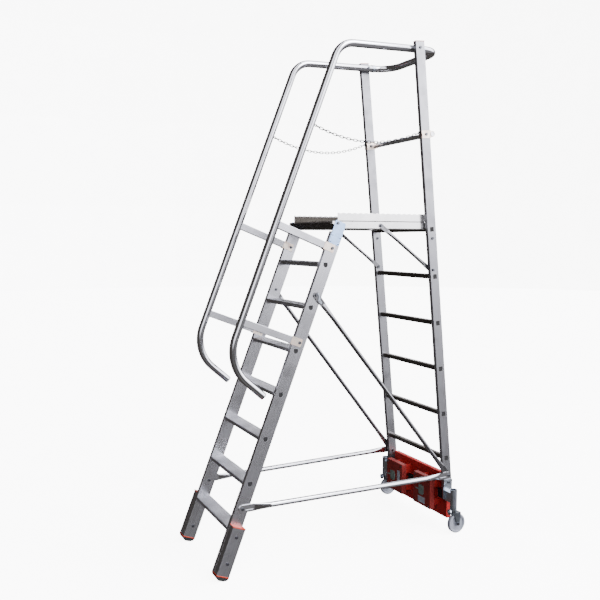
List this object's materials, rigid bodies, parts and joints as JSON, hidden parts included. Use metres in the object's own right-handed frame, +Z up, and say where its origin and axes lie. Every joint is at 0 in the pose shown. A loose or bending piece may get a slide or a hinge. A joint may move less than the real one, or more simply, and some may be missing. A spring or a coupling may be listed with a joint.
{
  "type": "mobile platform ladder",
  "caption": "Rolling aluminium platform ladder with guard rails, guard chains, a ballasted rear beam and swivel castors.",
  "frame": {"origin": "on the floor, in the middle of the box round the whole ladder", "axes": "+X to the climber's right, +Y the way the climber faces, +Z up"},
  "size_m": [0.788, 1.593, 2.9131],
  "materials": {
    "brushed_aluminium": "brushed",
    "tread_aluminium": "ribbed, satin",
    "sleeve_aluminium": "satin",
    "platform_aluminium": "chequer plate",
    "rung_aluminium": "satin",
    "polished_tube": "polished",
    "zinc_plate": "bright zinc plated",
    "yellow_zinc": "yellow zinc plated",
    "brace_steel": "zinc plated",
    "steel_fasteners": "zinc plated",
    "bright_chain": "zinc plated",
    "black_plastic": "moulded",
    "red_plastic": "moulded",
    "black_rubber": "matte",
    "red_paint": "powder coated",
    "white_nylon": "moulded"
  },
  "bodies": {
    "ladder": {"front_stile_right": "brushed_aluminium", "front_stile_left": "brushed_aluminium", "rail_bars": "brushed_aluminium", "tread_1": "tread_aluminium", "tread_2": "tread_aluminium", "tread_3": "tread_aluminium", "tread_4": "tread_aluminium", "tread_5": "tread_aluminium", "tread_6": "tread_aluminium", "tread_7": "tread_aluminium", "hinge_plates": "zinc_plate", "rivets": "zinc_plate", "bolts": "steel_fasteners", "tube_plugs": "black_plastic", "foot_sleeve_right": "sleeve_aluminium", "foot_sleeve_left": "sleeve_aluminium", "sleeve_caps": "red_plastic", "foot_rims": "red_plastic", "rear_stile_caps": "red_plastic", "foot_pads": "black_rubber", "handrail_right": "polished_tube", "handrail_left": "polished_tube", "rear_guard_tube": "polished_tube", "knee_rail": "polished_tube", "guard_collars": "zinc_plate", "knee_rail_brackets": "zinc_plate", "rail_brackets": "yellow_zinc", "platform_beam_right": "platform_aluminium", "platform_beam_left": "platform_aluminium", "platform_cross_members": "platform_aluminium", "platform_deck": "platform_aluminium", "toe_boards": "platform_aluminium", "rear_stile_right": "brushed_aluminium", "rear_stile_left": "brushed_aluminium", "platform_rung": "rung_aluminium", "rungs": "rung_aluminium", "short_stays": "brace_steel", "long_brace_right": "brace_steel", "long_brace_left": "brace_steel", "lower_brace_right": "brace_steel", "lower_brace_left": "brace_steel", "rear_beam": "red_paint", "ballast_blocks": "red_paint", "ballast_hangers": "red_paint", "castor_brackets": "zinc_plate", "castor_sockets": "zinc_plate"},
    "castor_right": {"castor_fork_right": "zinc_plate", "castor_axle_right": "steel_fasteners", "swivel_lock_right": "zinc_plate"},
    "wheel_right": {"castor_wheel_right": "white_nylon"},
    "guard_chain_right": {"chain_right": "bright_chain", "chain_eyes_right": "bright_chain"},
    "catch_right": {"brace_catch_right": "zinc_plate"},
    "castor_left": {"castor_fork_left": "zinc_plate", "castor_axle_left": "steel_fasteners", "swivel_lock_left": "zinc_plate"},
    "wheel_left": {"castor_wheel_left": "white_nylon"},
    "guard_chain_left": {"chain_left": "bright_chain", "chain_eyes_left": "bright_chain"},
    "catch_left": {"brace_catch_left": "zinc_plate"}
  },
  "joints": [
    {"name": "castor_swivel_right", "type": "hinge", "parent": "ladder", "child": "castor_right", "pos_m": [0.368, 0.7135, 0.14], "axis": [0, 0, 1], "continuous": true},
    {"name": "wheel_spin_right", "type": "hinge", "parent": "castor_right", "child": "wheel_right", "pos_m": [0.368, 0.7365, 0.06], "axis": [1, 0, 0], "continuous": true},
    {"name": "chain_swing_right", "type": "hinge", "parent": "ladder", "child": "guard_chain_right", "pos_m": [0.2593, -0.18416, 2.396], "axis": [0.0501, 0.9987, 0], "range_deg": [-85, 85]},
    {"name": "catch_swing_right", "type": "hinge", "parent": "ladder", "child": "catch_right", "pos_m": [0.2779, -0.1668, 1.44805], "axis": [1, 0, 0], "range_deg": [-25, 0], "stiffness_Nm_per_rad": 0.1, "springref_deg": 11.46},
    {"name": "castor_swivel_left", "type": "hinge", "parent": "ladder", "child": "castor_left", "pos_m": [-0.368, 0.7135, 0.14], "axis": [0, 0, 1], "continuous": true},
    {"name": "wheel_spin_left", "type": "hinge", "parent": "castor_left", "child": "wheel_left", "pos_m": [-0.368, 0.7365, 0.06], "axis": [1, 0, 0], "continuous": true},
    {"name": "chain_swing_left", "type": "hinge", "parent": "ladder", "child": "guard_chain_left", "pos_m": [-0.2593, -0.18416, 2.396], "axis": [-0.0501, 0.9987, 0], "range_deg": [-85, 85]},
    {"name": "catch_swing_left", "type": "hinge", "parent": "ladder", "child": "catch_left", "pos_m": [-0.2779, -0.1668, 1.44805], "axis": [1, 0, 0], "range_deg": [-25, 0], "stiffness_Nm_per_rad": 0.1, "springref_deg": 11.46}
  ]
}
